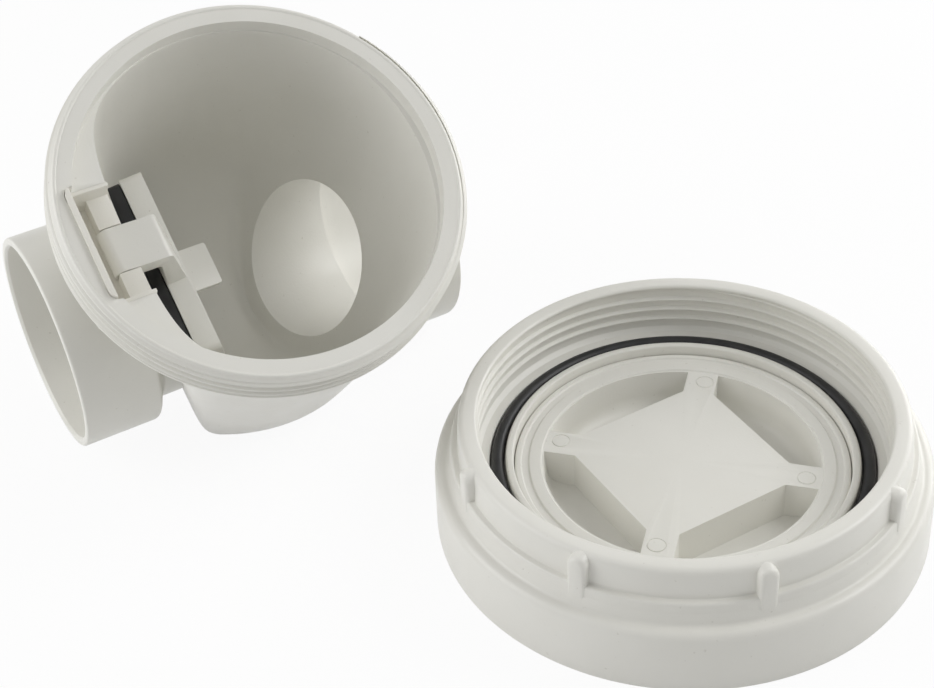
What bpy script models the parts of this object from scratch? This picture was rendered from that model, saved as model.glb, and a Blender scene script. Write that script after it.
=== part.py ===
"""Backwater valve for a 100 mm drain, in metres: the valve body with its hinged flap, and the lid off beside it.

The body is modelled upright about its pipe axis and rolled onto one sloping side of its chamber, where it rests.
"""

import math

import bmesh
import bpy

# Fit and running clearances
SEAT_GAP = 0.0003
PIN_CLEARANCE = 0.00025
THREAD_CLEARANCE = 0.0004

# Pipe and sockets
PIPE_DIAMETER = 0.1102
PIPE_CLEARANCE = 0.0001
SOCKET_WALL = 0.0049
SOCKET_DEPTH = 0.0415
BORE_RADIUS = 0.045
WALL = 0.0045
INLET_FACE_X = -0.1135
OUTLET_FACE_X = 0.118
OUTLET_DROP = 0.016
SOCKET_BORE = PIPE_DIAMETER / 2 + PIPE_CLEARANCE
SOCKET_RADIUS = SOCKET_BORE + SOCKET_WALL
NECK_RADIUS = BORE_RADIUS + WALL

# Chamber, with heights above the pipe axis
RIM_HEIGHT = 0.12
RIM_BORE = 0.0943
THREAD_RADIUS = 0.1075
THREAD_DEPTH = 0.0024
THREAD_LENGTH = 0.0245
LIP_STEP = 0.0045
LEDGE_DEPTH = 0.011
LEDGE_STEP = 0.0008
WAIST_HEIGHT = -0.032
WAIST_BORE = 0.0815
SHOULDER_RADIUS = 0.1015
HULL_SLOPE = math.radians(34.65)
HULL_RADIUS = SOCKET_RADIUS
CORNER_ROUND = 0.007
SEAT_TILT = math.radians(12)
SEAT_WALL_X = -0.0495
OUTLET_TILT = math.radians(25.9)
OUTLET_WALL_X = 0.0552

# Flap seat
SEAT_BORE = 0.042
SEAT_LAND = 0.004
SEAT_HEIGHT = 0.0032

# Hinge
HINGE_X = -0.0775
HINGE_HEIGHT = 0.0925
PIN_RADIUS = 0.002
PIN_LENGTH = 0.047
POCKET_BACK_X = -0.0945
POCKET_HALF_WIDTH = 0.032
POCKET_CORNER = 0.006
POCKET_FLOOR_DROP = 0.009
CARRIER_PLATE = 0.003
BEARING_TOP_RISE = 0.0055
BEARING_FRONT_X = -0.07
BEARING_BACK_X = -0.0842
KNUCKLE_HALF_WIDTH = 0.012
KNUCKLE_RADIUS = 0.0055
BEARING_SIDE_GAP = 0.0012

# Flap and its rubber
SEAL_THICKNESS = 0.0057
SEAL_HOLE = 0.036
SEAL_LIP = 0.0028
SEAL_GRIP = 0.0025
FLAP_RUNNING_GAP = 0.0016
FLAP_TOP = 0.0535
FLAP_PLATE = 0.0035
FLAP_DEPTH = 0.0136
FLAP_FLANGE = 0.003
FLAP_CORNER = 0.005
HANGER_THICKNESS = 0.0055
TONGUE_HALF_WIDTH = 0.0125
TONGUE_THICKNESS = 0.003
TONGUE_HEIGHT = 0.0323
TONGUE_TIP_X = -0.0172

# Lid, upside down, with heights above the floor
REST_Y = 0.021
LID_X = 0.1473
LID_Y = -0.2068
RISER_DIAMETER = 0.2504
RISER_CLEARANCE = 0.0001
SKIRT_WALL = 0.0034
SKIRT_DRAFT = 0.0008
SKIRT_HEIGHT = 0.0365
WEB = 0.005
RING_RADIUS = 0.115
RING_TOP = 0.0655
RING_DRAFT = 0.001
BAND_RADIUS = 0.1197
BAND_TOP = 0.0487
BAND_DEPTH = 0.0058
LID_BORE_FLOOR = 0.034
GROOVE_FLOOR = 0.0285
LID_SEAL_RADIUS = 0.0993
LID_SEAL_WIDTH = 0.0082
LID_SEAL_HEIGHT = 0.0078
COLLAR_WALL = 0.0031
COLLAR_TOP = 0.037
COLLAR_END = 0.0135
RIB_ANGLES = (170, -150, -106, -64)
RIB_WIDTH = 0.0056
RIB_TOP = 0.062
RIB_BOTTOM = 0.0415
RIB_STAND = 0.001

# Inspection plug
PLUG_RADIUS = 0.087
PLUG_RIM_HEIGHT = 0.0285
PLUG_BEAD = 0.002
PLUG_BEAD_WIDTH = 0.0055
PLUG_FLANGE = 0.0065
PLUG_FACE = 0.0035
PLUG_FACE_HEIGHT = 0.0075
POCKET_RADIUS = 0.072
BOX_HALF_SIDE = 0.043
BOX_WALL = 0.0035
BRIDGE_WIDTH = 0.019
PLUG_SEAL_THICKNESS = 0.0019

# Roundness of the turned shapes
WIDE_STEPS = 60
PIPE_STEPS = 40
PIN_STEPS = 16

AXIS_HEIGHT = SOCKET_RADIUS + OUTLET_DROP * math.cos(HULL_SLOPE)
REACH = 0.05
OUTLET_ROOT_X = OUTLET_WALL_X - OUTLET_DROP * math.tan(OUTLET_TILT) - WALL
LID_BORE = THREAD_RADIUS - THREAD_DEPTH + THREAD_CLEARANCE
COLLAR_BORE = PLUG_RADIUS + THREAD_CLEARANCE


def clear_scene():
    for obj in list(bpy.data.objects):
        bpy.data.objects.remove(obj, do_unlink=True)


def collection(name):
    made = bpy.data.collections.new(name)
    bpy.context.scene.collection.children.link(made)
    return made


def material(name, colour, roughness):
    made = bpy.data.materials.new(name)
    made.use_nodes = True
    shader = made.node_tree.nodes["Principled BSDF"]
    shader.inputs["Base Color"].default_value = (*colour, 1.0)
    shader.inputs["Roughness"].default_value = roughness
    shader.inputs["Metallic"].default_value = 0.0
    made.diffuse_color = (*colour, 1.0)
    return made


def empty(name, location, rotation=(0.0, 0.0, 0.0), parent=None):
    made = bpy.data.objects.new(name, None)
    PARTS.objects.link(made)
    made.parent = parent
    made.location = location
    made.rotation_euler = rotation
    made.empty_display_size = 0.02
    return made


def add(name, mesh, parent, location=(0.0, 0.0, 0.0), rotation=(0.0, 0.0, 0.0), finish=None):
    """Links a mesh as a part, or as a hidden helper where it has no finish."""
    made = bpy.data.objects.new(name, mesh)
    made.parent = parent
    made.location = location
    made.rotation_euler = rotation
    if finish is None:
        HELPERS.objects.link(made)
        made.hide_render = True
        made.display_type = "WIRE"
    else:
        PARTS.objects.link(made)
        mesh.materials.append(finish)
    return made


def rounded(corners, arc_steps=3):
    """Points of a closed outline from (a, b, radius) corners, with an arc at each corner that has a radius."""
    points = []
    for index, (a, b, radius) in enumerate(corners):
        if radius == 0:
            points.append((a, b))
            continue
        before = corners[index - 1]
        after = corners[(index + 1) % len(corners)]
        toward = []
        for other in (before, after):
            length = math.hypot(other[0] - a, other[1] - b)
            toward.append(((other[0] - a) / length, (other[1] - b) / length))
        (ax, ay), (bx, by) = toward
        half = math.acos(max(-1.0, min(1.0, ax * bx + ay * by))) / 2
        tangent = radius / math.tan(half)
        middle = math.hypot(ax + bx, ay + by)
        reach = radius / math.sin(half)
        centre = (a + (ax + bx) / middle * reach, b + (ay + by) / middle * reach)
        start = math.atan2(b + ay * tangent - centre[1], a + ax * tangent - centre[0])
        end = math.atan2(b + by * tangent - centre[1], a + bx * tangent - centre[0])
        sweep = (end - start + math.pi) % math.tau - math.pi
        for step in range(arc_steps + 1):
            angle = start + sweep * step / arc_steps
            points.append((centre[0] + radius * math.cos(angle), centre[1] + radius * math.sin(angle)))
    return points


def arc(radius, start, end, steps):
    """Points on a circle about the origin, from angle start to angle end."""
    angles = [start + (end - start) * step / steps for step in range(steps + 1)]
    return [(radius * math.cos(angle), radius * math.sin(angle)) for angle in angles]


def turned(name, profile, parent, steps=WIDE_STEPS, closed=False, **placing):
    """A profile of (radius, height) points, top to bottom on its outer side, screwed round the Z axis."""
    mesh = bpy.data.meshes.new(name)
    edges = [(i, i + 1) for i in range(len(profile) - 1)]
    if closed:
        edges.append((len(profile) - 1, 0))
    mesh.from_pydata([(radius, 0.0, height) for radius, height in profile], edges, [])
    made = add(name, mesh, parent, **placing)
    screw = made.modifiers.new("Turn", "SCREW")
    screw.axis = "Z"
    screw.angle = math.tau
    screw.steps = steps
    screw.render_steps = steps
    screw.use_merge_vertices = True
    screw.merge_threshold = 0.00001
    screw.use_smooth_shade = False
    return made


def prism(name, outline, axis, low, high, parent, **placing):
    """An outline extruded along X, Y or Z. Its points are (y, z), (x, z) or (x, y)."""
    spread = {"X": lambda a, b, c: (c, a, b), "Y": lambda a, b, c: (a, c, b), "Z": lambda a, b, c: (a, b, c)}[axis]
    form = bmesh.new()
    base = form.faces.new([form.verts.new(spread(a, b, low)) for a, b in outline])
    grown = bmesh.ops.extrude_face_region(form, geom=[base])
    moved = [item for item in grown["geom"] if isinstance(item, bmesh.types.BMVert)]
    bmesh.ops.translate(form, vec=spread(0.0, 0.0, high - low), verts=moved)
    bmesh.ops.recalc_face_normals(form, faces=form.faces[:])
    mesh = bpy.data.meshes.new(name)
    form.to_mesh(mesh)
    form.free()
    return add(name, mesh, parent, **placing)


def lean_ends(made, low_plane, high_plane):
    """Moves the two X ends of a prism onto sloping planes, each a (x at height 0, x gained per height) pair."""
    middle = sum(vertex.co.x for vertex in made.data.vertices) / len(made.data.vertices)
    for vertex in made.data.vertices:
        place, gain = low_plane if vertex.co.x < middle else high_plane
        vertex.co.x = place + gain * vertex.co.z


def bevel(made, width, segments=3, angle=math.radians(35)):
    modifier = made.modifiers.new("Round", "BEVEL")
    modifier.width = width
    modifier.segments = segments
    modifier.limit_method = "ANGLE"
    modifier.angle_limit = angle


def boolean(made, other, operation):
    modifier = made.modifiers.new(other.name, "BOOLEAN")
    modifier.operation = operation
    modifier.solver = "EXACT"
    modifier.object = other


def weld(made):
    """Makes one point of those that a Boolean leaves almost on top of each other."""
    modifier = made.modifiers.new("Weld", "WELD")
    modifier.merge_threshold = 0.00001


ALONG_X = (0.0, math.pi / 2, 0.0)


def wall_line(x, tilt, offset):
    """The sloping plane at this offset along its normal, as lean_ends takes it."""
    return x + offset / math.cos(tilt), math.tan(tilt)


def hull(name, inset, top, frame):
    """The chamber's keel and sloping sides about the outlet's axis, between the two leaning end walls."""
    radius = HULL_RADIUS - inset
    side = RIM_BORE + REACH
    arc_points = arc(radius, -math.pi / 2 - HULL_SLOPE, -math.pi / 2 + HULL_SLOPE, 12)
    keel = [(a, b - OUTLET_DROP) for a, b in arc_points]
    knee = (side * math.sin(HULL_SLOPE) - radius) / math.cos(HULL_SLOPE) - OUTLET_DROP
    outline = [*keel, (side, knee), (side, top), (-side, top), (-side, knee)]
    made = prism(name, outline, "X", -REACH, REACH, frame)
    inlet, inlet_gain = wall_line(SEAT_WALL_X, SEAT_TILT, inset - WALL)
    outlet, outlet_gain = wall_line(OUTLET_WALL_X, OUTLET_TILT, WALL - inset)
    lean_ends(made, (inlet, -inlet_gain), (outlet, outlet_gain))
    bevel(made, CORNER_ROUND - inset, angle=math.radians(50))
    return made


def cone_radius(height, low_radius, high_radius, low, high):
    return low_radius + (high_radius - low_radius) * (height - low) / (high - low)


def valve_body(frame, finish):
    """One moulding: threaded neck, keeled chamber, two pipe sockets, flap seat and the pocket for the hinge."""
    neck_end = RIM_HEIGHT - THREAD_LENGTH
    ledge = RIM_HEIGHT - LEDGE_DEPTH
    foot = -SOCKET_RADIUS - OUTLET_DROP - REACH
    waist_radius = WAIST_BORE + WALL
    outer_foot = cone_radius(foot, waist_radius, SHOULDER_RADIUS, WAIST_HEIGHT, neck_end)
    outer_top = cone_radius(neck_end + WALL, waist_radius, SHOULDER_RADIUS, WAIST_HEIGHT, neck_end)
    chamber = [(0.0, neck_end + WALL), (outer_top, neck_end + WALL), (outer_foot, foot), (0.0, foot)]
    body = turned("valve_body", chamber, frame, finish=finish)
    boolean(body, hull("hull_outside", 0.0, neck_end + 2 * WALL, frame), "INTERSECT")

    lip = LIP_STEP / 3
    neck = [
        (0.0, RIM_HEIGHT),
        (THREAD_RADIUS - LIP_STEP, RIM_HEIGHT),
        (THREAD_RADIUS - 2 * lip, RIM_HEIGHT - lip),
        (THREAD_RADIUS - lip, RIM_HEIGHT - LIP_STEP),
        (THREAD_RADIUS, RIM_HEIGHT - LIP_STEP - lip),
        (THREAD_RADIUS, neck_end),
        (SHOULDER_RADIUS - WALL / 2, neck_end - WALL / 2),
        (0.0, neck_end - WALL / 2),
    ]
    boolean(body, turned("neck", neck, frame), "UNION")

    inlet_back = INLET_FACE_X + SOCKET_DEPTH
    outlet_back = OUTLET_FACE_X - SOCKET_DEPTH
    sockets = {
        "inlet_socket": (-1, INLET_FACE_X, inlet_back, SEAT_WALL_X + WALL, 0.0),
        "outlet_socket": (1, OUTLET_FACE_X, outlet_back, OUTLET_ROOT_X, -OUTLET_DROP),
    }
    for name, (side, face, back, root, level) in sockets.items():
        step = side * SOCKET_WALL / 2
        profile = rounded(
            [
                (0.0, side * root, 0),
                (NECK_RADIUS, side * root, 0),
                (NECK_RADIUS, side * (back - 2 * step), 0.002),
                (SOCKET_RADIUS, side * (back - step), 0.002),
                (SOCKET_RADIUS, side * face, 0.001),
                (0.0, side * face, 0),
            ]
        )
        profile.reverse()
        place = {"location": (0.0, 0.0, level), "rotation": (0.0, side * math.pi / 2, 0.0)}
        solid = turned(name, profile, frame, steps=PIPE_STEPS, **place)
        boolean(body, solid, "UNION")
        weld(body)

    boss = rounded(
        [
            (POCKET_BACK_X - WALL, -POCKET_HALF_WIDTH - WALL, POCKET_CORNER + WALL),
            (SEAT_WALL_X - WALL, -POCKET_HALF_WIDTH - WALL, 0),
            (SEAT_WALL_X - WALL, POCKET_HALF_WIDTH + WALL, 0),
            (POCKET_BACK_X - WALL, POCKET_HALF_WIDTH + WALL, POCKET_CORNER + WALL),
        ]
    )
    pocket_floor = HINGE_HEIGHT - POCKET_FLOOR_DROP
    boolean(body, prism("pocket_boss", boss, "Z", pocket_floor - WALL, neck_end + WALL, frame), "UNION")

    ledge_bore = RIM_BORE - LEDGE_STEP
    inner_foot = cone_radius(foot, WAIST_BORE, ledge_bore, WAIST_HEIGHT, ledge)
    inner_top = cone_radius(ledge + WALL, WAIST_BORE, ledge_bore, WAIST_HEIGHT, ledge)
    inside = [(0.0, ledge + WALL), (inner_top, ledge + WALL), (inner_foot, foot), (0.0, foot)]
    cavity = turned("cavity", inside, frame)
    boolean(cavity, hull("hull_inside", WALL, ledge + WALL / 2, frame), "INTERSECT")
    mouth = [
        (0.0, RIM_HEIGHT + WALL),
        (RIM_BORE + 2 * lip + WALL, RIM_HEIGHT + WALL),
        (RIM_BORE, RIM_HEIGHT - 2 * lip),
        (RIM_BORE, ledge),
        (0.0, ledge),
    ]
    boolean(cavity, turned("mouth", mouth, frame), "UNION")
    boolean(body, cavity, "DIFFERENCE")

    seat = prism("seat_land", arc(SEAT_BORE + SEAT_LAND, 0.0, math.tau, PIPE_STEPS)[:-1], "X", -1, 1, frame)
    root, gain = wall_line(SEAT_WALL_X, SEAT_TILT, -WALL / 2)
    face, gain = wall_line(SEAT_WALL_X, SEAT_TILT, SEAT_HEIGHT)
    lean_ends(seat, (root, -gain), (face, -gain))
    boolean(body, seat, "UNION")

    inlet_way = [
        (0.0, INLET_FACE_X - REACH),
        (SOCKET_BORE, INLET_FACE_X - REACH),
        (SOCKET_BORE, inlet_back - SOCKET_WALL / 2),
        (BORE_RADIUS, inlet_back - SOCKET_WALL / 2),
        (BORE_RADIUS, SEAT_WALL_X - 3 * WALL),
        (SEAT_BORE, SEAT_WALL_X - 2 * WALL),
        (SEAT_BORE, 0.0),
        (0.0, 0.0),
    ]
    outlet_way = [
        (0.0, OUTLET_FACE_X + REACH),
        (SOCKET_BORE, OUTLET_FACE_X + REACH),
        (SOCKET_BORE, outlet_back + SOCKET_WALL / 2),
        (BORE_RADIUS, outlet_back + SOCKET_WALL / 2),
        (BORE_RADIUS, 0.0),
        (0.0, 0.0),
    ]
    inlet_way.reverse()
    for name, profile, level in (("inlet_way", inlet_way, 0.0), ("outlet_way", outlet_way, -OUTLET_DROP)):
        way = turned(name, profile, frame, steps=PIPE_STEPS, location=(0.0, 0.0, level), rotation=ALONG_X)
        boolean(body, way, "DIFFERENCE")

    pocket = rounded(
        [
            (POCKET_BACK_X, -POCKET_HALF_WIDTH, POCKET_CORNER),
            (SEAT_WALL_X, -POCKET_HALF_WIDTH, 0),
            (SEAT_WALL_X, POCKET_HALF_WIDTH, 0),
            (POCKET_BACK_X, POCKET_HALF_WIDTH, POCKET_CORNER),
        ]
    )
    boolean(body, prism("hinge_pocket", pocket, "Z", pocket_floor, RIM_HEIGHT + WALL, frame), "DIFFERENCE")


def hinge_carrier(frame, finish):
    """The insert in the pocket: a back plate flush with the rim, a base and two bearings open at the top."""
    floor = HINGE_HEIGHT - POCKET_FLOOR_DROP + SEAT_GAP
    width = POCKET_HALF_WIDTH - SEAT_GAP
    back = POCKET_BACK_X + SEAT_GAP
    plan = rounded(
        [
            (back, -width, POCKET_CORNER - SEAT_GAP),
            (BEARING_FRONT_X, -width, 0.001),
            (BEARING_FRONT_X, width, 0.001),
            (back, width, POCKET_CORNER - SEAT_GAP),
        ]
    )
    carrier = prism("hinge_carrier", plan, "Z", floor, RIM_HEIGHT - SEAT_GAP, frame, finish=finish)
    bearing_top = HINGE_HEIGHT + BEARING_TOP_RISE
    high_cut = [
        (back + CARRIER_PLATE, -REACH),
        (REACH, -REACH),
        (REACH, REACH),
        (back + CARRIER_PLATE, REACH),
    ]
    boolean(carrier, prism("above_bearings", high_cut, "Z", bearing_top, RIM_HEIGHT + REACH, frame), "DIFFERENCE")
    inner = KNUCKLE_HALF_WIDTH + BEARING_SIDE_GAP
    base = floor + CARRIER_PLATE
    cheek_gap = [
        (back + CARRIER_PLATE, base),
        (REACH, base),
        (REACH, RIM_HEIGHT + REACH),
        (back + CARRIER_PLATE, RIM_HEIGHT + REACH),
    ]
    boolean(carrier, prism("between_bearings", cheek_gap, "Y", -inner, inner, frame), "DIFFERENCE")
    behind = [
        (back + CARRIER_PLATE, base),
        (BEARING_BACK_X, base),
        (BEARING_BACK_X, RIM_HEIGHT + REACH),
        (back + CARRIER_PLATE, RIM_HEIGHT + REACH),
    ]
    boolean(carrier, prism("behind_bearings", behind, "Y", -REACH, REACH, frame), "DIFFERENCE")
    slot_radius = PIN_RADIUS + PIN_CLEARANCE
    slot = [(HINGE_X + a, HINGE_HEIGHT + b) for a, b in arc(slot_radius, math.pi, math.tau, 10)]
    slot += [(HINGE_X + slot_radius, RIM_HEIGHT), (HINGE_X - slot_radius, RIM_HEIGHT)]
    reach = PIN_LENGTH / 2 + SEAT_GAP
    boolean(carrier, prism("pin_slots", slot, "Y", -reach, reach, frame), "DIFFERENCE")


def hinge_pin(frame, finish):
    half = PIN_LENGTH / 2
    chamfer = PIN_RADIUS / 4
    profile = [
        (0.0, half),
        (PIN_RADIUS - chamfer, half),
        (PIN_RADIUS, half - chamfer),
        (PIN_RADIUS, chamfer - half),
        (PIN_RADIUS - chamfer, -half),
        (0.0, -half),
    ]
    place = (HINGE_X, 0.0, HINGE_HEIGHT)
    turned("hinge_pin", profile, frame, steps=PIN_STEPS, location=place, rotation=(math.pi / 2, 0.0, 0.0), finish=finish)


def flap_outline(inset):
    """The flap's outline about the bore's centre: a half circle below, straight sides and a flat top."""
    half = HULL_RADIUS - WALL - FLAP_RUNNING_GAP - inset
    corners = [(half, FLAP_TOP - inset, FLAP_CORNER), (-half, FLAP_TOP - inset, FLAP_CORNER)]
    lower = arc(half, -math.pi, 0.0, 32)
    shape = rounded([(half, 0.0, 0), *corners, (-half, 0.0, 0)])
    return shape[:-1] + lower[:-1]


def circle(radius, steps=PIPE_STEPS):
    return arc(radius, 0.0, math.tau, steps)[:-1]


SEAL_FACE = SEAT_HEIGHT + SEAT_GAP
SEAL_BACK = SEAL_FACE + SEAL_THICKNESS
FLAP_BACK = SEAL_BACK + SEAT_GAP


def flap(pivot, finish):
    """One moulding: the dished flap, its hanger and knuckle, the boss for the seal and the lifting tongue."""
    leaning = {"location": (SEAT_WALL_X - HINGE_X, 0.0, -HINGE_HEIGHT), "rotation": (0.0, -SEAT_TILT, 0.0)}
    made = prism("flap", flap_outline(0.0), "X", FLAP_BACK, FLAP_BACK + FLAP_DEPTH, pivot, finish=finish, **leaning)
    bevel(made, 0.001, segments=2, angle=math.radians(60))
    dish = prism(
        "dish", flap_outline(FLAP_FLANGE), "X", FLAP_BACK + FLAP_PLATE, FLAP_BACK + FLAP_DEPTH + REACH, pivot, **leaning
    )
    boolean(made, dish, "DIFFERENCE")

    lip = SEAL_FACE + 2 * SEAT_GAP
    post_radius = SEAL_HOLE - SEAT_GAP
    lip_radius = post_radius + SEAL_GRIP
    post = [
        (0.0, FLAP_BACK + FLAP_PLATE / 2),
        (post_radius, FLAP_BACK + FLAP_PLATE / 2),
        (post_radius, lip + SEAL_LIP - SEAL_GRIP / 2),
        (lip_radius, lip + SEAL_LIP - SEAL_GRIP / 2),
        (post_radius, lip),
        (0.0, lip),
    ]
    turn = {"location": leaning["location"], "rotation": (0.0, math.pi / 2 - SEAT_TILT, 0.0)}
    boolean(made, turned("seal_boss", post, pivot, steps=PIPE_STEPS, **turn), "UNION")

    drop = HINGE_HEIGHT - FLAP_TOP
    plate_x = SEAT_WALL_X - HINGE_X + (FLAP_BACK + FLAP_PLATE) / math.cos(SEAT_TILT)
    foot = (plate_x - FLAP_TOP * math.tan(SEAT_TILT), -drop - FLAP_PLATE)
    rise = KNUCKLE_RADIUS
    elbow = foot[0] - HANGER_THICKNESS / 2
    side = rounded(
        [
            (elbow, rise, 0.003),
            (foot[0] + HANGER_THICKNESS, foot[1], 0),
            (foot[0], foot[1], 0),
            (elbow - HANGER_THICKNESS, -rise, 0.003),
            (0.0, -rise, 0),
        ]
    )
    side += arc(rise, -math.pi / 2, -math.pi * 3 / 2, 12)[1:]
    arm = prism("hanger", side, "Y", -KNUCKLE_HALF_WIDTH, KNUCKLE_HALF_WIDTH, pivot)
    boolean(made, arm, "UNION")
    eye = prism("pin_eye", circle(PIN_RADIUS + PIN_CLEARANCE, PIN_STEPS), "Y", -REACH, REACH, pivot)
    boolean(made, eye, "DIFFERENCE")

    level = TONGUE_HEIGHT - HINGE_HEIGHT
    tip = TONGUE_TIP_X - HINGE_X
    tongue = rounded(
        [
            (plate_x - FLAP_PLATE - TONGUE_HEIGHT * math.tan(SEAT_TILT), -TONGUE_HALF_WIDTH, 0),
            (tip, -TONGUE_HALF_WIDTH, 0.0015),
            (tip, TONGUE_HALF_WIDTH, 0.0015),
            (plate_x - FLAP_PLATE - TONGUE_HEIGHT * math.tan(SEAT_TILT), TONGUE_HALF_WIDTH, 0),
        ]
    )
    boolean(made, prism("tongue", tongue, "Z", level - TONGUE_THICKNESS, level, pivot), "UNION")


def flap_seal(pivot, finish):
    """The rubber on the flap's back, snapped over the boss."""
    leaning = {"location": (SEAT_WALL_X - HINGE_X, 0.0, -HINGE_HEIGHT), "rotation": (0.0, -SEAT_TILT, 0.0)}
    made = prism("flap_seal", flap_outline(0.001), "X", SEAL_FACE, SEAL_BACK, pivot, finish=finish, **leaning)
    bevel(made, 0.0012, segments=2, angle=math.radians(60))
    hole = prism("seal_hole", circle(SEAL_HOLE), "X", -REACH, REACH, pivot, **leaning)
    boolean(made, hole, "DIFFERENCE")
    grip = SEAL_HOLE + SEAL_GRIP
    step = SEAL_FACE + 2 * SEAT_GAP + SEAL_LIP - SEAL_GRIP / 2 + SEAT_GAP
    recess = prism("seal_recess", circle(grip), "X", -REACH, step, pivot, **leaning)
    boolean(made, recess, "DIFFERENCE")


def lid(frame, finish):
    """One moulding, upside down: threaded ring, seal groove, collar for the plug and the riser skirt."""
    skirt_bore = RISER_DIAMETER / 2 + RISER_CLEARANCE
    skirt_radius = skirt_bore + SKIRT_WALL
    under = SKIRT_HEIGHT - WEB
    collar_radius = COLLAR_BORE + COLLAR_WALL
    groove_wall = LID_SEAL_RADIUS + 2 * SEAT_GAP
    under_groove = GROOVE_FLOOR - WEB
    profile = rounded(
        [
            (LID_BORE, RING_TOP, 0.001),
            (RING_RADIUS, RING_TOP, 0.003),
            (RING_RADIUS + RING_DRAFT, BAND_TOP, 0),
            (BAND_RADIUS, BAND_TOP, 0.001),
            (BAND_RADIUS, BAND_TOP - BAND_DEPTH, 0),
            (BAND_RADIUS + 0.002, SKIRT_HEIGHT, 0.002),
            (skirt_radius, SKIRT_HEIGHT, 0.0035),
            (skirt_radius + SKIRT_DRAFT, 0.0, 0.001),
            (skirt_bore, 0.0, 0.001),
            (skirt_bore, under, 0.001),
            (LID_BORE - 0.001, under, 0.001),
            (LID_BORE - 0.001, under_groove, 0.001),
            (collar_radius, under_groove, 0),
            (collar_radius, COLLAR_END, 0),
            (COLLAR_BORE, COLLAR_END, 0),
            (COLLAR_BORE, COLLAR_TOP, 0.001),
            (collar_radius, COLLAR_TOP, 0.001),
            (collar_radius, GROOVE_FLOOR, 0),
            (groove_wall, GROOVE_FLOOR, 0),
            (groove_wall, LID_BORE_FLOOR, 0.0005),
            (LID_BORE, LID_BORE_FLOOR, 0),
        ],
        arc_steps=2,
    )
    made = turned("lid", profile, frame, closed=True, finish=finish)
    half = RIB_WIDTH / 2
    rib = rounded(
        [
            (-half, RIB_BOTTOM, 0),
            (half, RIB_BOTTOM, 0),
            (half, RIB_TOP, half - 0.0001),
            (-half, RIB_TOP, half - 0.0001),
        ]
    )
    for number, angle in enumerate(RIB_ANGLES):
        turn = (0.0, 0.0, math.radians(angle))
        bar = prism(f"rib_{number + 1}", rib, "X", RING_RADIUS - WEB / 2, BAND_RADIUS + RIB_STAND, frame, rotation=turn)
        bevel(bar, 0.0012, segments=2, angle=math.radians(60))
        boolean(made, bar, "UNION")


def lid_seal(frame, finish):
    inner = LID_SEAL_RADIUS - LID_SEAL_WIDTH
    low = GROOVE_FLOOR + SEAT_GAP
    high = low + LID_SEAL_HEIGHT
    profile = rounded(
        [
            (inner, high, 0.003),
            (LID_SEAL_RADIUS, high, 0.003),
            (LID_SEAL_RADIUS, low, 0.003),
            (inner, low, 0.003),
        ],
        arc_steps=2,
    )
    turned("lid_seal", profile, frame, closed=True, finish=finish)


def inspection_plug(frame, finish):
    """The screwed plug: rim, flange, four pockets round a square box, and the box's socket for a key below."""
    rim = PLUG_RIM_HEIGHT + PLUG_BEAD
    bead_root = PLUG_RADIUS - PLUG_BEAD_WIDTH
    flange = PLUG_FACE_HEIGHT + PLUG_FACE
    profile = rounded(
        [
            (0.0, PLUG_RIM_HEIGHT, 0),
            (bead_root - PLUG_BEAD / 2, PLUG_RIM_HEIGHT, 0),
            (bead_root, rim, 0.001),
            (PLUG_RADIUS, rim, 0.0015),
            (PLUG_RADIUS, flange, 0),
            (PLUG_RADIUS + PLUG_FLANGE, flange, 0.0005),
            (PLUG_RADIUS + PLUG_FLANGE, PLUG_FACE_HEIGHT, 0.001),
            (0.0, PLUG_FACE_HEIGHT, 0),
        ],
        arc_steps=3,
    )
    made = turned("inspection_plug", profile, frame, finish=finish)
    floor = PLUG_FACE_HEIGHT + PLUG_FACE
    pocket = [
        (0.0, rim + REACH),
        (POCKET_RADIUS, rim + REACH),
        *rounded([(POCKET_RADIUS, rim, 0), (POCKET_RADIUS, floor, 0.006), (0.0, floor, 0)], arc_steps=5),
    ]
    pockets = turned("pockets", pocket, frame, steps=PIPE_STEPS)
    half = BOX_HALF_SIDE
    square = rounded([(half, -half, 0.004), (half, half, 0.004), (-half, half, 0.004), (-half, -half, 0.004)])
    boolean(pockets, prism("box_outside", square, "Z", 0.0, rim + 2 * REACH, frame), "DIFFERENCE")
    for number, turn in enumerate((math.pi / 4, -math.pi / 4)):
        bar = BRIDGE_WIDTH / 2
        outline = [(-PLUG_RADIUS, -bar), (PLUG_RADIUS, -bar), (PLUG_RADIUS, bar), (-PLUG_RADIUS, bar)]
        bridge = prism(f"bridge_{number + 1}", outline, "Z", 0.0, rim + 2 * REACH, frame, rotation=(0.0, 0.0, turn))
        boolean(pockets, bridge, "DIFFERENCE")
    boolean(made, pockets, "DIFFERENCE")
    inner = BOX_HALF_SIDE - BOX_WALL
    hollow = rounded([(inner, -inner, 0.002), (inner, inner, 0.002), (-inner, inner, 0.002), (-inner, -inner, 0.002)])
    boolean(made, prism("key_socket", hollow, "Z", -REACH, PLUG_RIM_HEIGHT - BOX_WALL, frame), "DIFFERENCE")


def plug_seal(frame, finish):
    low = PLUG_FACE_HEIGHT + PLUG_FACE + SEAT_GAP
    inner = PLUG_RADIUS + SEAT_GAP
    outer = PLUG_RADIUS + PLUG_FLANGE - SEAT_GAP
    high = low + PLUG_SEAL_THICKNESS
    profile = [(inner, high), (outer, high), (outer, low), (inner, low)]
    turned("plug_seal", profile, frame, closed=True, finish=finish)


clear_scene()
PARTS = collection("backwater_valve")
HELPERS = collection("helpers")


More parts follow.
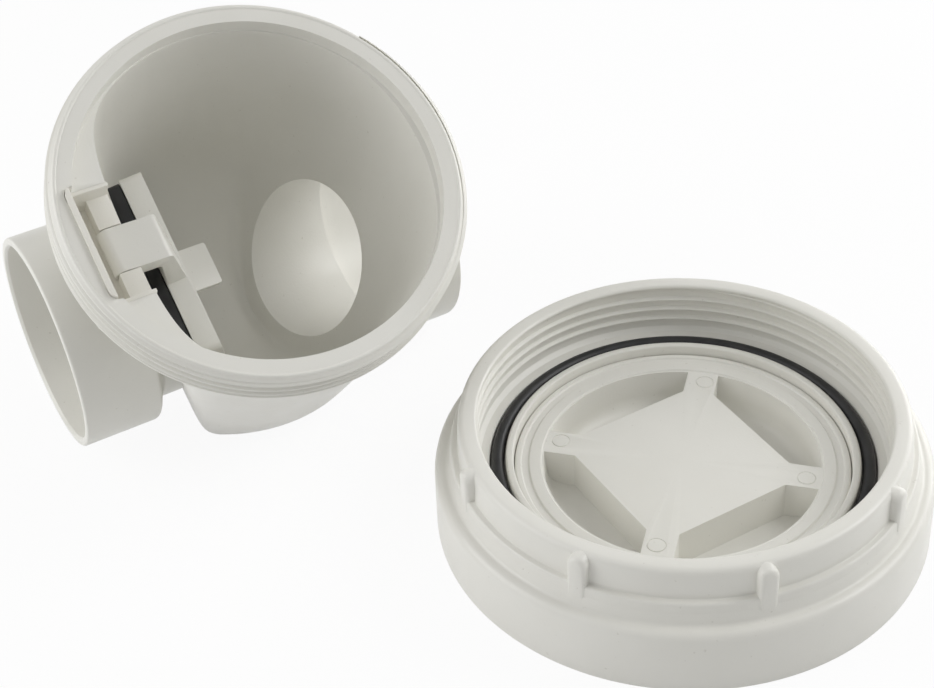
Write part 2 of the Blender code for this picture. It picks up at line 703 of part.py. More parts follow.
def build():
    plastic = material("pvc_white", (0.80, 0.80, 0.77), 0.42)
    cream = material("hinge_cream", (0.82, 0.79, 0.70), 0.45)
    rubber = material("rubber_black", (0.02, 0.02, 0.022), 0.5)
    steel = material("pin_steel", (0.55, 0.55, 0.56), 0.3)

    frame = empty("valve_frame", (0.0, REST_Y, AXIS_HEIGHT), (HULL_SLOPE, 0.0, 0.0))
    valve_body(frame, plastic)
    hinge_carrier(frame, cream)
    hinge_pin(frame, steel)
    pivot = empty("flap_pivot", (HINGE_X, 0.0, HINGE_HEIGHT), parent=frame)
    flap(pivot, plastic)
    flap_seal(pivot, rubber)

    beside = empty("lid_frame", (LID_X, LID_Y, 0.0))
    lid(beside, plastic)
    lid_seal(beside, rubber)
    inspection_plug(beside, plastic)
    plug_seal(beside, rubber)


build()
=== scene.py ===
"""Looks of the backwater valve: moulded shells, threads, small marks and materials."""

import math

import bmesh
import bpy
import numpy as np
from mathutils import Matrix, Vector


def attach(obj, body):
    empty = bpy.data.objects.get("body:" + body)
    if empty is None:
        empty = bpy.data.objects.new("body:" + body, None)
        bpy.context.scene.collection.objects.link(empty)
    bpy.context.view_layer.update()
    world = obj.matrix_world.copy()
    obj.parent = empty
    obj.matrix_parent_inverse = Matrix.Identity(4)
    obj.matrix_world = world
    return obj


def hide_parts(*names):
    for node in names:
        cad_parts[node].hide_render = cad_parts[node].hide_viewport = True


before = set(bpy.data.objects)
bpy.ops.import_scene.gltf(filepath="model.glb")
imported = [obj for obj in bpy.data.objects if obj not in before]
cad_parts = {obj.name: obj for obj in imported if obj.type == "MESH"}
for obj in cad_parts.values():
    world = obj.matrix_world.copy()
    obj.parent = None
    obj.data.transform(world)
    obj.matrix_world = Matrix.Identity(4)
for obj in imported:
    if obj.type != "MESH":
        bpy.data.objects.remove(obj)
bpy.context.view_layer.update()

# Sizes shared with the solids, in metres
WALL = 0.0045
SOCKET_BORE = 0.0552
SOCKET_RADIUS = 0.0601
SOCKET_DEPTH = 0.0415
BORE_RADIUS = 0.045
NECK_RADIUS = BORE_RADIUS + WALL
INLET_FACE_X = -0.1135
OUTLET_FACE_X = 0.118
OUTLET_DROP = 0.016
RIM_HEIGHT = 0.12
RIM_BORE = 0.0943
THREAD_RADIUS = 0.1075
THREAD_ROOT = 0.1058
NECK_END = 0.0955
LEDGE_HEIGHT = 0.109
WAIST_HEIGHT = -0.032
WAIST_BORE = 0.0815
SHOULDER_RADIUS = 0.1015
HULL_SLOPE = math.radians(34.65)
SEAT_TILT = math.radians(12)
SEAT_WALL_X = -0.0495
OUTLET_TILT = math.radians(25.9)
OUTLET_WALL_X = 0.0552
SEAT_BORE = 0.042
SEAT_LAND = 0.004
SEAT_HEIGHT = 0.0012
HINGE_X = -0.0775
HINGE_HEIGHT = 0.0925
POCKET_BACK_X = -0.0945
POCKET_HALF_WIDTH = 0.032
POCKET_FLOOR = 0.0835
REACH = 0.05
REST_Y = 0.021
AXIS_HEIGHT = SOCKET_RADIUS + OUTLET_DROP * math.cos(HULL_SLOPE)
LID_PLACE = (0.1473, -0.2068, 0.0)
LID_BORE = 0.1055
LID_THREAD_ROOT = 0.1074
PLUG_RADIUS = 0.087
PLUG_FLOOR = 0.0095
PLUG_FLANGE = 0.011
PLUG_BOTTOM = 0.0075

VALVE = Matrix.Translation((0.0, REST_Y, AXIS_HEIGHT)) @ Matrix.Rotation(HULL_SLOPE, 4, "X")
LID = Matrix.Translation(LID_PLACE)


def link(name, mesh):
    made = bpy.data.objects.new(name, mesh)
    bpy.context.scene.collection.objects.link(made)
    return made


def from_faces(name, points, faces, tidy=True):
    mesh = bpy.data.meshes.new(name)
    mesh.from_pydata([tuple(point) for point in points], [], faces)
    if tidy:
        form = bmesh.new()
        form.from_mesh(mesh)
        bmesh.ops.remove_doubles(form, verts=form.verts[:], dist=1e-6)
        bmesh.ops.recalc_face_normals(form, faces=form.faces[:])
        form.to_mesh(mesh)
        form.free()
    return link(name, mesh)


def rounded(corners, arc_steps=5):
    """Points of a closed outline from (a, b, radius) corners. A radius of 0 keeps the corner sharp."""
    points = []
    for index, (a, b, radius) in enumerate(corners):
        if radius == 0:
            points.append((a, b))
            continue
        before = corners[index - 1]
        after = corners[(index + 1) % len(corners)]
        toward = []
        for other in (before, after):
            length = math.hypot(other[0] - a, other[1] - b)
            toward.append(((other[0] - a) / length, (other[1] - b) / length))
        (ax, ay), (bx, by) = toward
        half = math.acos(max(-1.0, min(1.0, ax * bx + ay * by))) / 2
        tangent = radius / math.tan(half)
        middle = math.hypot(ax + bx, ay + by)
        reach = radius / math.sin(half)
        centre = (a + (ax + bx) / middle * reach, b + (ay + by) / middle * reach)
        start = math.atan2(b + ay * tangent - centre[1], a + ax * tangent - centre[0])
        end = math.atan2(b + by * tangent - centre[1], a + bx * tangent - centre[0])
        sweep = (end - start + math.pi) % math.tau - math.pi
        for step in range(arc_steps + 1):
            angle = start + sweep * step / arc_steps
            points.append((centre[0] + radius * math.cos(angle), centre[1] + radius * math.sin(angle)))
    return points


def circle(radius, steps=96, start=0.0):
    angles = [start + math.tau * step / steps for step in range(steps)]
    return [(radius * math.cos(angle), radius * math.sin(angle)) for angle in angles]


def lathe(name, profile, steps=192, closed=False):
    """A profile of (radius, height) points turned about Z. An open profile starts and ends on the axis."""
    count = len(profile)
    points = []
    for step in range(steps):
        angle = math.tau * step / steps
        points += [(radius * math.cos(angle), radius * math.sin(angle), height) for radius, height in profile]
    faces = []
    for step in range(steps):
        here = step * count
        there = (step + 1) % steps * count
        for index in range(count if closed else count - 1):
            after = (index + 1) % count
            faces.append((here + index, here + after, there + after, there + index))
    return from_faces(name, points, faces)


def prism(name, outline, axis, low, high):
    """An outline extruded along X, Y or Z. Its points are (y, z), (x, z) or (x, y)."""
    spread = {
        "X": lambda a, b, c: (c, a, b),
        "Y": lambda a, b, c: (a, c, b),
        "Z": lambda a, b, c: (a, b, c),
    }[axis]
    count = len(outline)
    points = [spread(a, b, low) for a, b in outline] + [spread(a, b, high) for a, b in outline]
    faces = [tuple(range(count)), tuple(range(2 * count - 1, count - 1, -1))]
    faces += [(i, i + count, (i + 1) % count + count, (i + 1) % count) for i in range(count)]
    return from_faces(name, points, faces)


def loft(name, rings):
    """A closed skin through a stack of outlines that all have the same number of points."""
    count = len(rings[0])
    points = [point for ring in rings for point in ring]
    faces = [tuple(range(count)), tuple(range(len(points) - 1, len(points) - count - 1, -1))]
    for index in range(len(rings) - 1):
        low = index * count
        for step in range(count):
            after = (step + 1) % count
            faces.append((low + step, low + after, low + count + after, low + count + step))
    return from_faces(name, points, faces)


def bake(made):
    """Makes the result of an object's modifiers its own mesh."""
    graph = bpy.context.evaluated_depsgraph_get()
    mesh = bpy.data.meshes.new_from_object(made.evaluated_get(graph))
    made.modifiers.clear()
    old = made.data
    made.data = mesh
    bpy.data.meshes.remove(old)


def combine(made, other, operation):
    modifier = made.modifiers.new("Combine", "BOOLEAN")
    modifier.operation = operation
    modifier.solver = "EXACT"
    modifier.object = other
    bpy.context.view_layer.update()
    bake(made)
    bpy.data.objects.remove(other)


def placed(made, matrix):
    made.data.transform(matrix)
    return made


def soften(made, width=0.0, angle=35, segments=3, weld=0.00002):
    """Rounds the sharp edges and shades the rest smooth."""
    form = bmesh.new()
    form.from_mesh(made.data)
    bmesh.ops.remove_doubles(form, verts=form.verts[:], dist=weld)
    bmesh.ops.dissolve_degenerate(form, edges=form.edges[:], dist=weld)
    form.to_mesh(made.data)
    form.free()
    if width:
        modifier = made.modifiers.new("Round", "BEVEL")
        modifier.width = width
        modifier.segments = segments
        modifier.limit_method = "ANGLE"
        modifier.angle_limit = math.radians(angle)
        modifier.harden_normals = False
        modifier.miter_outer = "MITER_ARC"
        bake(made)
    made.data.shade_smooth()
    made.data.set_sharp_from_angle(angle=math.radians(angle))
    return made


def helix(name, root, crest, start_height, turns, pitch, base, tip, start_angle=0.0, steps=144):
    """A thread's ridge, sunk a little into its wall and faded at both ends."""
    sink = 0.0006 if crest > root else -0.0006
    rings = []
    total = int(steps * turns)
    fade = steps // 12
    for step in range(total + 1):
        angle = start_angle + math.tau * step / steps
        height = start_height + pitch * step / steps
        share = min(1.0, step / fade, (total - step) / fade)
        top = root + (crest - root) * share - (0.0002 if crest > root else -0.0002) * (share == 0)
        ring = []
        for radius, offset in (
            (root - sink, -base / 2),
            (root + (top - root) * 0.7, -tip / 2 - (base - tip) * 0.12),
            (top, -tip / 4),
            (top, tip / 4),
            (root + (top - root) * 0.7, tip / 2 + (base - tip) * 0.12),
            (root - sink, base / 2),
        ):
            ring.append((radius * math.cos(angle), radius * math.sin(angle), height + offset))
        rings.append(ring)
    return soften(loft(name, rings), angle=50)


def resampled(points, count):
    """The closed outline as evenly spaced points, starting at its first one."""
    loop = np.vstack([points, points[:1]])
    steps = np.hypot(*np.diff(loop, axis=0).T)
    along = np.concatenate([[0.0], np.cumsum(steps)])
    wanted = np.linspace(0.0, along[-1], count + 1)[:-1]
    return np.column_stack([np.interp(wanted, along, loop[:, 0]), np.interp(wanted, along, loop[:, 1])])


def chamber(name, inset, power, top, waist, mouth, count=168):
    """The keeled chamber as one soft loft: cone, leaning end walls and sloping sides run into each other."""
    radius = SOCKET_RADIUS - inset
    slope_sin, slope_cos = math.sin(HULL_SLOPE), math.cos(HULL_SLOPE)
    arc_end = -OUTLET_DROP - radius * slope_cos
    turns = np.linspace(math.radians(2.5), HULL_SLOPE, 12)
    heights = list(-OUTLET_DROP - radius * np.cos(turns)) + list(np.linspace(arc_end, top, 44))[1:]
    angles = np.linspace(0.0, math.tau, 2881)[:-1]
    cos, sin = np.cos(angles), np.sin(angles)
    rings = []
    for height in heights:
        level = height + OUTLET_DROP
        if height < arc_end:
            side = math.sqrt(radius**2 - level**2)
        else:
            side = (radius + level * slope_cos) / slope_sin
        offset = WALL - inset
        inlet = -SEAT_WALL_X + offset / math.cos(SEAT_TILT) + math.tan(SEAT_TILT) * height
        outlet = OUTLET_WALL_X + offset / math.cos(OUTLET_TILT) + math.tan(OUTLET_TILT) * height
        cone = waist + (mouth - waist) * (height - WAIST_HEIGHT) / (LEDGE_HEIGHT - WAIST_HEIGHT)
        ends = np.where(cos > 0, outlet, inlet)
        blend = (np.abs(cos) / ends) ** power + (np.abs(sin) / side) ** power + (1.0 / cone) ** power
        reach = blend ** (-1.0 / power)
        outline = resampled(np.column_stack([reach * cos, reach * sin]), count)
        rings.append([(x, y, height) for x, y in outline])
    return loft(name, rings)


def pipe_way(name, profile, drop=0.0):
    """A profile of (radius, x) turned about the pipe's axis."""
    made = lathe(name, profile, steps=144)
    return placed(made, Matrix.Translation((0.0, 0.0, -drop)) @ Matrix.Rotation(math.pi / 2, 4, "Y"))


def valve_shell():
    """The valve body: soft chamber, threaded neck, both sockets, flap seat and hinge pocket."""
    body = chamber("body_shell", 0.0, 20, NECK_END + 0.003, 0.0862, 0.1036)
    neck = [
        (0.0, RIM_HEIGHT),
        *rounded(
            [
                (0.1032, RIM_HEIGHT, 0.0012),
                (0.1042, RIM_HEIGHT - 0.0038, 0.0008),
                (THREAD_ROOT, RIM_HEIGHT - 0.0052, 0.0006),
                (THREAD_ROOT, NECK_END + 0.0018, 0),
                (THREAD_RADIUS - 0.0004, NECK_END + 0.0012, 0.0005),
                (THREAD_RADIUS - 0.0004, NECK_END - 0.0002, 0.0005),
                (SHOULDER_RADIUS - 0.0005, NECK_END - 0.0022, 0.001),
                (0.09, NECK_END - 0.0026, 0),
            ]
        )[:-1],
        (0.09, NECK_END - 0.0026),
        (0.0, NECK_END - 0.0026),
    ]
    combine(body, lathe("neck", neck), "UNION")
    inlet_back = INLET_FACE_X + SOCKET_DEPTH
    outlet_back = OUTLET_FACE_X - SOCKET_DEPTH
    inlet_root = SEAT_WALL_X + NECK_RADIUS * math.tan(SEAT_TILT)
    outlet_root = OUTLET_WALL_X - (OUTLET_DROP + NECK_RADIUS) * math.tan(OUTLET_TILT)
    for name, side, face, back, root, drop in (
        ("inlet", -1, INLET_FACE_X, inlet_back, inlet_root, 0.0),
        ("outlet", 1, OUTLET_FACE_X, outlet_back, outlet_root, OUTLET_DROP),
    ):
        profile = rounded(
            [
                (0.0, face, 0),
                (SOCKET_RADIUS, face, 0.0013),
                (SOCKET_RADIUS, back - side * 0.0012, 0.003),
                (NECK_RADIUS, back - side * 0.0062, 0.003),
                (NECK_RADIUS, root, 0),
                (0.0, root, 0),
            ]
        )
        combine(body, pipe_way(name + "_socket", profile, drop), "UNION")
    outline = rounded(
        [
            (POCKET_BACK_X - WALL, -POCKET_HALF_WIDTH - WALL, 0.0105),
            (SEAT_WALL_X - WALL, -POCKET_HALF_WIDTH - WALL, 0),
            (SEAT_WALL_X - WALL, POCKET_HALF_WIDTH + WALL, 0),
            (POCKET_BACK_X - WALL, POCKET_HALF_WIDTH + WALL, 0.0105),
        ]
    )
    combine(body, prism("pocket_boss", outline, "Z", POCKET_FLOOR - WALL, NECK_END + WALL), "UNION")

    cavity = chamber("cavity", WALL, 9, LEDGE_HEIGHT - 0.0001, WAIST_BORE, RIM_BORE - 0.0006)
    combine(body, cavity, "DIFFERENCE")
    mouth = [
        (0.0, RIM_HEIGHT + WALL),
        (RIM_BORE + 0.0008 + WALL, RIM_HEIGHT + WALL),
        (RIM_BORE, RIM_HEIGHT - 0.0008),
        (RIM_BORE, LEDGE_HEIGHT - 0.0004),
        (0.0, LEDGE_HEIGHT - 0.0004),
    ]
    combine(body, lathe("mouth", mouth), "DIFFERENCE")
    land = prism("seat_land", circle(SEAT_BORE + SEAT_LAND, 144), "X", -1.0, 1.0)
    for vertex in land.data.vertices:
        offset = -WALL / 2 if vertex.co.x < 0 else SEAT_HEIGHT
        vertex.co.x = SEAT_WALL_X + offset / math.cos(SEAT_TILT) - math.tan(SEAT_TILT) * vertex.co.z
    combine(body, land, "UNION")
    inlet_way = [
        (0.0, 0.0),
        (SEAT_BORE, 0.0),
        (SEAT_BORE, SEAT_WALL_X - 2 * WALL),
        (BORE_RADIUS, SEAT_WALL_X - 3 * WALL),
        (BORE_RADIUS, inlet_back - 0.0025),
        (SOCKET_BORE, inlet_back - 0.0025),
        (SOCKET_BORE, INLET_FACE_X + 0.0015),
        (SOCKET_BORE + 0.0012, INLET_FACE_X),
        (SOCKET_BORE + 0.0012, INLET_FACE_X - REACH),
        (0.0, INLET_FACE_X - REACH),
    ]
    outlet_way = [
        (0.0, 0.0),
        (BORE_RADIUS, 0.0),
        (BORE_RADIUS, outlet_back + 0.0025),
        (SOCKET_BORE, outlet_back + 0.0025),
        (SOCKET_BORE, OUTLET_FACE_X - 0.0015),
        (SOCKET_BORE + 0.0012, OUTLET_FACE_X),
        (SOCKET_BORE + 0.0012, OUTLET_FACE_X + REACH),
        (0.0, OUTLET_FACE_X + REACH),
    ]
    combine(body, pipe_way("inlet_way", inlet_way), "DIFFERENCE")
    combine(body, pipe_way("outlet_way", outlet_way, OUTLET_DROP), "DIFFERENCE")
    back = POCKET_BACK_X + 0.00027
    half = POCKET_HALF_WIDTH
    corner = 0.0085
    pocket = rounded(
        [
            (back, -half + corner, 0),
            (POCKET_BACK_X, -half + corner - 0.0006, 0),
            (POCKET_BACK_X, -half, 0.0055),
            (SEAT_WALL_X, -half, 0),
            (SEAT_WALL_X, half, 0),
            (POCKET_BACK_X, half, 0.0055),
            (POCKET_BACK_X, half - corner + 0.0006, 0),
            (back, half - corner, 0),
        ]
    )
    combine(body, prism("pocket", pocket, "Z", POCKET_FLOOR, RIM_HEIGHT + WALL), "DIFFERENCE")
    return placed(soften(body, width=0.0006, angle=32, segments=2), VALVE)


CARRIER_GAP = 0.0003
CARRIER_TOP = RIM_HEIGHT - CARRIER_GAP
CARRIER_PLATE = 0.003
CARRIER_END = 0.0022
BEARING_TOP = 0.098
BEARING_FRONT_X = -0.07
BEARING_BACK_X = -0.0815
KNUCKLE_RADIUS = 0.0055
KNUCKLE_HALF_WIDTH = 0.0122
PIN_HOLE = 0.0022
PIN_REACH = 0.0238


def carrier_shell():
    """The insert in the pocket: a back plate, end walls, a base and two bearings for the pin."""
    back = POCKET_BACK_X + CARRIER_GAP
    half = POCKET_HALF_WIDTH - 0.00002
    floor = POCKET_FLOOR + CARRIER_GAP
    plan = rounded(
        [
            (back, -half, 0.0057),
            (BEARING_FRONT_X, -half, 0.0008),
            (BEARING_FRONT_X, half, 0.0008),
            (back, half, 0.0057),
        ]
    )
    made = prism("carrier_shell", plan, "Z", floor, CARRIER_TOP)
    front = back + CARRIER_PLATE
    base = floor + CARRIER_PLATE
    end = half - CARRIER_END
    for near, far, low, reach in (
        (front, REACH, LEDGE_HEIGHT - CARRIER_GAP, REACH),
        (front, REACH, BEARING_TOP, end),
        (front, REACH, base, KNUCKLE_HALF_WIDTH + 0.0005),
        (front, BEARING_BACK_X, base, end),
    ):
        side = [(near, low), (far, low), (far, RIM_HEIGHT + REACH), (near, RIM_HEIGHT + REACH)]
        combine(made, prism("cut", side, "Y", -reach, reach), "DIFFERENCE")
    hole = [(HINGE_X + a, HINGE_HEIGHT + b) for a, b in circle(PIN_HOLE, 32)]
    combine(made, prism("pin_holes", hole, "Y", -PIN_REACH, PIN_REACH), "DIFFERENCE")
    return placed(soften(made, width=0.0006, angle=32, segments=2), VALVE)


FLAP_TOP = 0.0555
FLAP_BACK = 0.0095
FLAP_FRONT = 0.022
FLAP_PLATE = 0.0035
FLAP_FLANGE = 0.003
FLAP_GAP = 0.0016
FLAP_CORNER = 0.005
ARM_FRONT_X = -0.0526
TONGUE_HEIGHT = 0.0323
TONGUE_THICKNESS = 0.003
TONGUE_TIP_X = -0.0172
TONGUE_HALF_WIDTH = 0.0125
BOSS_RADIUS = 0.0357
SEAL_HOLE = 0.036
LEAN = Matrix.Translation((SEAT_WALL_X, 0.0, 0.0)) @ Matrix.Rotation(-SEAT_TILT, 4, "Y")


def flap_outline(inset):
    """The flap's outline about the bore's centre: a half circle below, straight sides and a flat top."""
    half = SOCKET_RADIUS - WALL - FLAP_GAP - inset
    top = FLAP_TOP - inset
    upper = rounded([(half, 0.0, 0), (half, top, FLAP_CORNER), (-half, top, FLAP_CORNER), (-half, 0.0, 0)])
    angles = [-math.pi + math.pi * step / 48 for step in range(1, 48)]
    return upper + [(half * math.cos(angle), half * math.sin(angle)) for angle in angles]


def leaning_x(depth, height):
    """Where the plane at this depth from the leaning seat wall meets a height above the pipe axis."""
    return SEAT_WALL_X + depth / math.cos(SEAT_TILT) - height * math.tan(SEAT_TILT)


def flap_shell():
    """The dished flap with its arm, knuckle, boss and lifting tongue in one moulding."""
    made = placed(prism("flap_shell", flap_outline(0.0), "X", FLAP_BACK, FLAP_FRONT), LEAN)
    dish = prism("dish", flap_outline(FLAP_FLANGE), "X", FLAP_BACK + FLAP_PLATE, FLAP_FRONT + REACH)
    combine(made, placed(dish, LEAN), "DIFFERENCE")
    profile = [(0.0, 0.0021), (BOSS_RADIUS, 0.0021), (BOSS_RADIUS, 0.0112), (0.0, 0.0112)]
    boss = lathe("boss", profile, steps=120)
    combine(made, placed(boss, LEAN @ Matrix.Rotation(math.pi / 2, 4, "Y")), "UNION")
    under = HINGE_HEIGHT - KNUCKLE_RADIUS
    foot = FLAP_TOP - 0.0015
    side = rounded(
        [
            (ARM_FRONT_X, HINGE_HEIGHT + KNUCKLE_RADIUS, 0.003),
            (leaning_x(FLAP_FRONT - 0.0008, FLAP_TOP), foot, 0),
            (leaning_x(FLAP_BACK + 0.0008, FLAP_TOP), foot, 0),
            (leaning_x(FLAP_BACK + 0.0008, under), under, 0.003),
            (HINGE_X, under, 0),
        ]
    )
    for step in range(1, 25):
        angle = -math.pi / 2 - math.pi * step / 24
        across, up = KNUCKLE_RADIUS * math.cos(angle), KNUCKLE_RADIUS * math.sin(angle)
        side.append((HINGE_X + across, HINGE_HEIGHT + up))
    combine(made, prism("arm", side, "Y", -KNUCKLE_HALF_WIDTH, KNUCKLE_HALF_WIDTH), "UNION")
    eye = [(HINGE_X + a, HINGE_HEIGHT + b) for a, b in circle(PIN_HOLE, 32)]
    combine(made, prism("pin_eye", eye, "Y", -REACH, REACH), "DIFFERENCE")
    root = leaning_x(FLAP_BACK + 0.0018, TONGUE_HEIGHT)
    tongue = rounded(
        [
            (root, -TONGUE_HALF_WIDTH, 0),
            (TONGUE_TIP_X, -TONGUE_HALF_WIDTH, 0.0015),
            (TONGUE_TIP_X, TONGUE_HALF_WIDTH, 0.0015),
            (root, TONGUE_HALF_WIDTH, 0),
        ]
    )
    combine(made, prism("tongue", tongue, "Z", TONGUE_HEIGHT - TONGUE_THICKNESS, TONGUE_HEIGHT), "UNION")
    return placed(soften(made, width=0.0006, angle=40, segments=2), VALVE)


def flap_rubber():
    """The rubber on the flap's back, with the boss through its hole."""
    made = prism("flap_rubber", flap_outline(0.001), "X", 0.0015, FLAP_BACK - 0.0003)
    combine(made, prism("seal_hole", circle(SEAL_HOLE, 120), "X", -REACH, REACH), "DIFFERENCE")
    return placed(soften(placed(made, LEAN), width=0.0008, angle=40, segments=2), VALVE)


RIB_ANGLES = (170, -149.9, -105.9, -64)
COLLAR_BORE = 0.0874
COLLAR_RADIUS = 0.0917
COLLAR_END = 0.0135
COLLAR_TOP = 0.037
GROOVE_FLOOR = 0.0285
GROOVE_WALL = 0.0999
RING_TOP = 0.0655
BAND_TOP = 0.0487
SKIRT_TOP = 0.0365
SKIRT_BORE = 0.1253


def capsule(half, low, high, steps=9):
    """An upright bar's outline with a round top."""
    points = [(half, low)]
    for step in range(steps + 1):
        angle = math.pi * step / steps
        points.append((half * math.cos(angle), high - half + half * math.sin(angle)))
    points.append((-half, low))
    return points


def grip_rib(name, angle):
    """A grip rib: a capsule that stands out from the ring, domed towards its top and sides."""
    levels = ((0.113, 0.0), (0.1184, 0.0), (0.1196, 0.0005), (0.1203, 0.0013), (0.1206, 0.0024))
    rings = []
    for radius, inset in levels:
        outline = capsule(0.005 - inset, 0.0362, 0.0652 - inset)
        rings.append([(radius - max(0.0, high - 0.058) * 0.12, across, high) for across, high in outline])
    return placed(loft(name, rings), Matrix.Rotation(math.radians(angle), 4, "Z"))


def lid_shell():
    """The lid, upside down: threaded ring, seal groove, collar, band, skirt and grip ribs."""
    profile = rounded(
        [
            (LID_THREAD_ROOT, 0.0622, 0.0006),
            (LID_BORE - 0.0001, 0.0636, 0.0006),
            (LID_BORE - 0.0001, RING_TOP, 0.0016),
            (0.115, RING_TOP, 0.0036),
            (0.116, BAND_TOP, 0.0008),
            (0.1197, BAND_TOP, 0.0014),
            (0.1199, 0.0429, 0.001),
            (0.1217, SKIRT_TOP, 0.0024),
            (0.1287, SKIRT_TOP, 0.0048),
            (0.12948, 0.0, 0.0009),
            (SKIRT_BORE, 0.0, 0.0009),
            (SKIRT_BORE, 0.0315, 0.001),
            (0.1045, 0.0315, 0.001),
            (0.1045, 0.0235, 0.001),
            (COLLAR_RADIUS - 0.0012, 0.0235, 0),
            (COLLAR_RADIUS - 0.0012, COLLAR_END, 0),
            (COLLAR_BORE, COLLAR_END, 0),
            (COLLAR_BORE, COLLAR_TOP, 0.001),
            (COLLAR_RADIUS, COLLAR_TOP, 0.0016),
            (COLLAR_RADIUS, GROOVE_FLOOR, 0),
            (GROOVE_WALL, GROOVE_FLOOR, 0),
            (GROOVE_WALL, 0.034, 0.0008),
            (LID_BORE - 0.0008, 0.0345, 0.001),
            (LID_THREAD_ROOT, 0.0365, 0.001),
        ],
        arc_steps=4,
    )
    made = lathe("lid_shell", profile, closed=True)
    for number, angle in enumerate(RIB_ANGLES):
        combine(made, grip_rib(f"rib_{number}", angle), "UNION")
    return placed(soften(made, width=0.0005, angle=32, segments=2), LID)


MARK_ANGLES = (133.5, 43.3, -46.1, -136.3)
MARK_RADIUS = 0.0648
PLUG_RIM = 0.0318
PLUG_FACE = 0.031
FLANGE_RADIUS = 0.0935
BOX_HALF_SIDE = 0.0435
BOX_WALL = 0.0035
BOX_SPREAD = 1.035
BRIDGE_HALF_WIDTH = 0.00825


def square(half, corner):
    turns = ((1, -1), (1, 1), (-1, 1), (-1, -1))
    return rounded([(a * half, b * half, corner) for a, b in turns])


def plug_shell():
    """The inspection plug: stepped rim, four pockets round a square box, and ejector marks on the bridges."""
    rim = PLUG_RIM
    face = PLUG_FACE
    profile = [
        (0.0, face),
        *rounded(
            [
                (0.0728, face, 0.0004),
                (0.0734, rim, 0.0005),
                (0.0792, rim, 0.0005),
                (0.0799, rim - 0.0009, 0.0004),
                (0.0832, rim - 0.0009, 0.0004),
                (0.0838, rim, 0.0005),
                (PLUG_RADIUS, rim, 0.0014),
                (PLUG_RADIUS, PLUG_FLANGE, 0),
                (FLANGE_RADIUS, PLUG_FLANGE, 0.0005),
                (FLANGE_RADIUS, PLUG_BOTTOM, 0.001),
                (0.06, PLUG_BOTTOM, 0),
            ]
        ),
        (0.0, PLUG_BOTTOM),
    ]
    made = lathe("plug_shell", profile)
    pocket = [
        (0.0, rim + REACH),
        (0.0726, rim + REACH),
        *rounded([(0.0722, rim, 0), (0.0700, PLUG_FLOOR, 0.009), (0.03, PLUG_FLOOR, 0)])[:-1],
        (0.0, PLUG_FLOOR),
    ]
    pockets = lathe("pockets", pocket, steps=144)
    box = prism("box", square(BOX_HALF_SIDE, 0.004), "Z", 0.0, rim + 2 * REACH)
    for vertex in box.data.vertices:
        if vertex.co.z < 0.001:
            vertex.co.x *= BOX_SPREAD
            vertex.co.y *= BOX_SPREAD
    combine(pockets, box, "DIFFERENCE")
    for turn in (math.pi / 4, -math.pi / 4):
        bar = BRIDGE_HALF_WIDTH
        outline = [(-PLUG_RADIUS, -bar), (PLUG_RADIUS, -bar), (PLUG_RADIUS, bar), (-PLUG_RADIUS, bar)]
        bridge = prism("bridge", outline, "Z", 0.0, rim + 2 * REACH)
        combine(pockets, placed(bridge, Matrix.Rotation(turn, 4, "Z")), "DIFFERENCE")
    combine(made, pockets, "DIFFERENCE")
    hollow = square(BOX_HALF_SIDE - BOX_WALL, 0.002)
    combine(made, prism("key_socket", hollow, "Z", -REACH, face - BOX_WALL), "DIFFERENCE")
    for angle in MARK_ANGLES:
        mark = [(0.0, face + 0.002), (0.0053, face + 0.002), (0.0049, face - 0.00035), (0.0, face - 0.00035)]
        spot = Matrix.Rotation(math.radians(angle), 4, "Z") @ Matrix.Translation((MARK_RADIUS, 0.0, 0.0))
        combine(made, placed(lathe("ejector_mark", mark, steps=40), spot), "DIFFERENCE")
        disc = [(0.0, face - 0.001), (0.0, face + 0.00012), (0.0043, face + 0.00012), (0.0047, face - 0.001)]
        combine(made, placed(lathe("ejector_disc", disc[::-1], steps=40), spot), "UNION")
    return placed(soften(made, width=0.0008, angle=40, segments=3), LID)


def ring(name, inner, outer, low, high, radius, matrix):
    """A rubber ring with rounded edges."""
    corners = ((inner, high), (outer, high), (outer, low), (inner, low))
    profile = rounded([(*corner, radius) for corner in corners])
    return placed(soften(lathe(name, profile, closed=True)), matrix)


def node_tree(name):
    made = bpy.data.materials.new(name)
    made.use_nodes = True
    tree = made.node_tree
    return made, tree, tree.nodes["Principled BSDF"]


def noise(tree, coordinates, scale, detail=3.0, roughness=0.55):
    made = tree.nodes.new("ShaderNodeTexNoise")
    made.inputs["Scale"].default_value = scale
    made.inputs["Detail"].default_value = detail
    made.inputs["Roughness"].default_value = roughness
    tree.links.new(coordinates, made.inputs["Vector"])
    return made.outputs["Fac"]


def ramp(tree, factor, stops):
    made = tree.nodes.new("ShaderNodeValToRGB")
    made.color_ramp.elements[0].position = stops[0][0]
    made.color_ramp.elements[0].color = (*stops[0][1], 1.0)
    made.color_ramp.elements[1].position = stops[-1][0]
    made.color_ramp.elements[1].color = (*stops[-1][1], 1.0)
    for position, colour in stops[1:-1]:
        made.color_ramp.elements.new(position).color = (*colour, 1.0)
    tree.links.new(factor, made.inputs["Fac"])
    return made.outputs["Color"]


def mix(tree, factor, first, second, blend="MIX"):
    """A colour mix. The node's colour sockets are 6 and 7, and its colour result is output 2."""
    made = tree.nodes.new("ShaderNodeMix")
    made.data_type = "RGBA"
    made.blend_type = blend
    for index, value in ((0, factor), (6, first), (7, second)):
        socket = made.inputs[index]
        if isinstance(value, (int, float, tuple)):
            socket.default_value = value
        else:
            tree.links.new(value, socket)
    return made.outputs[2]


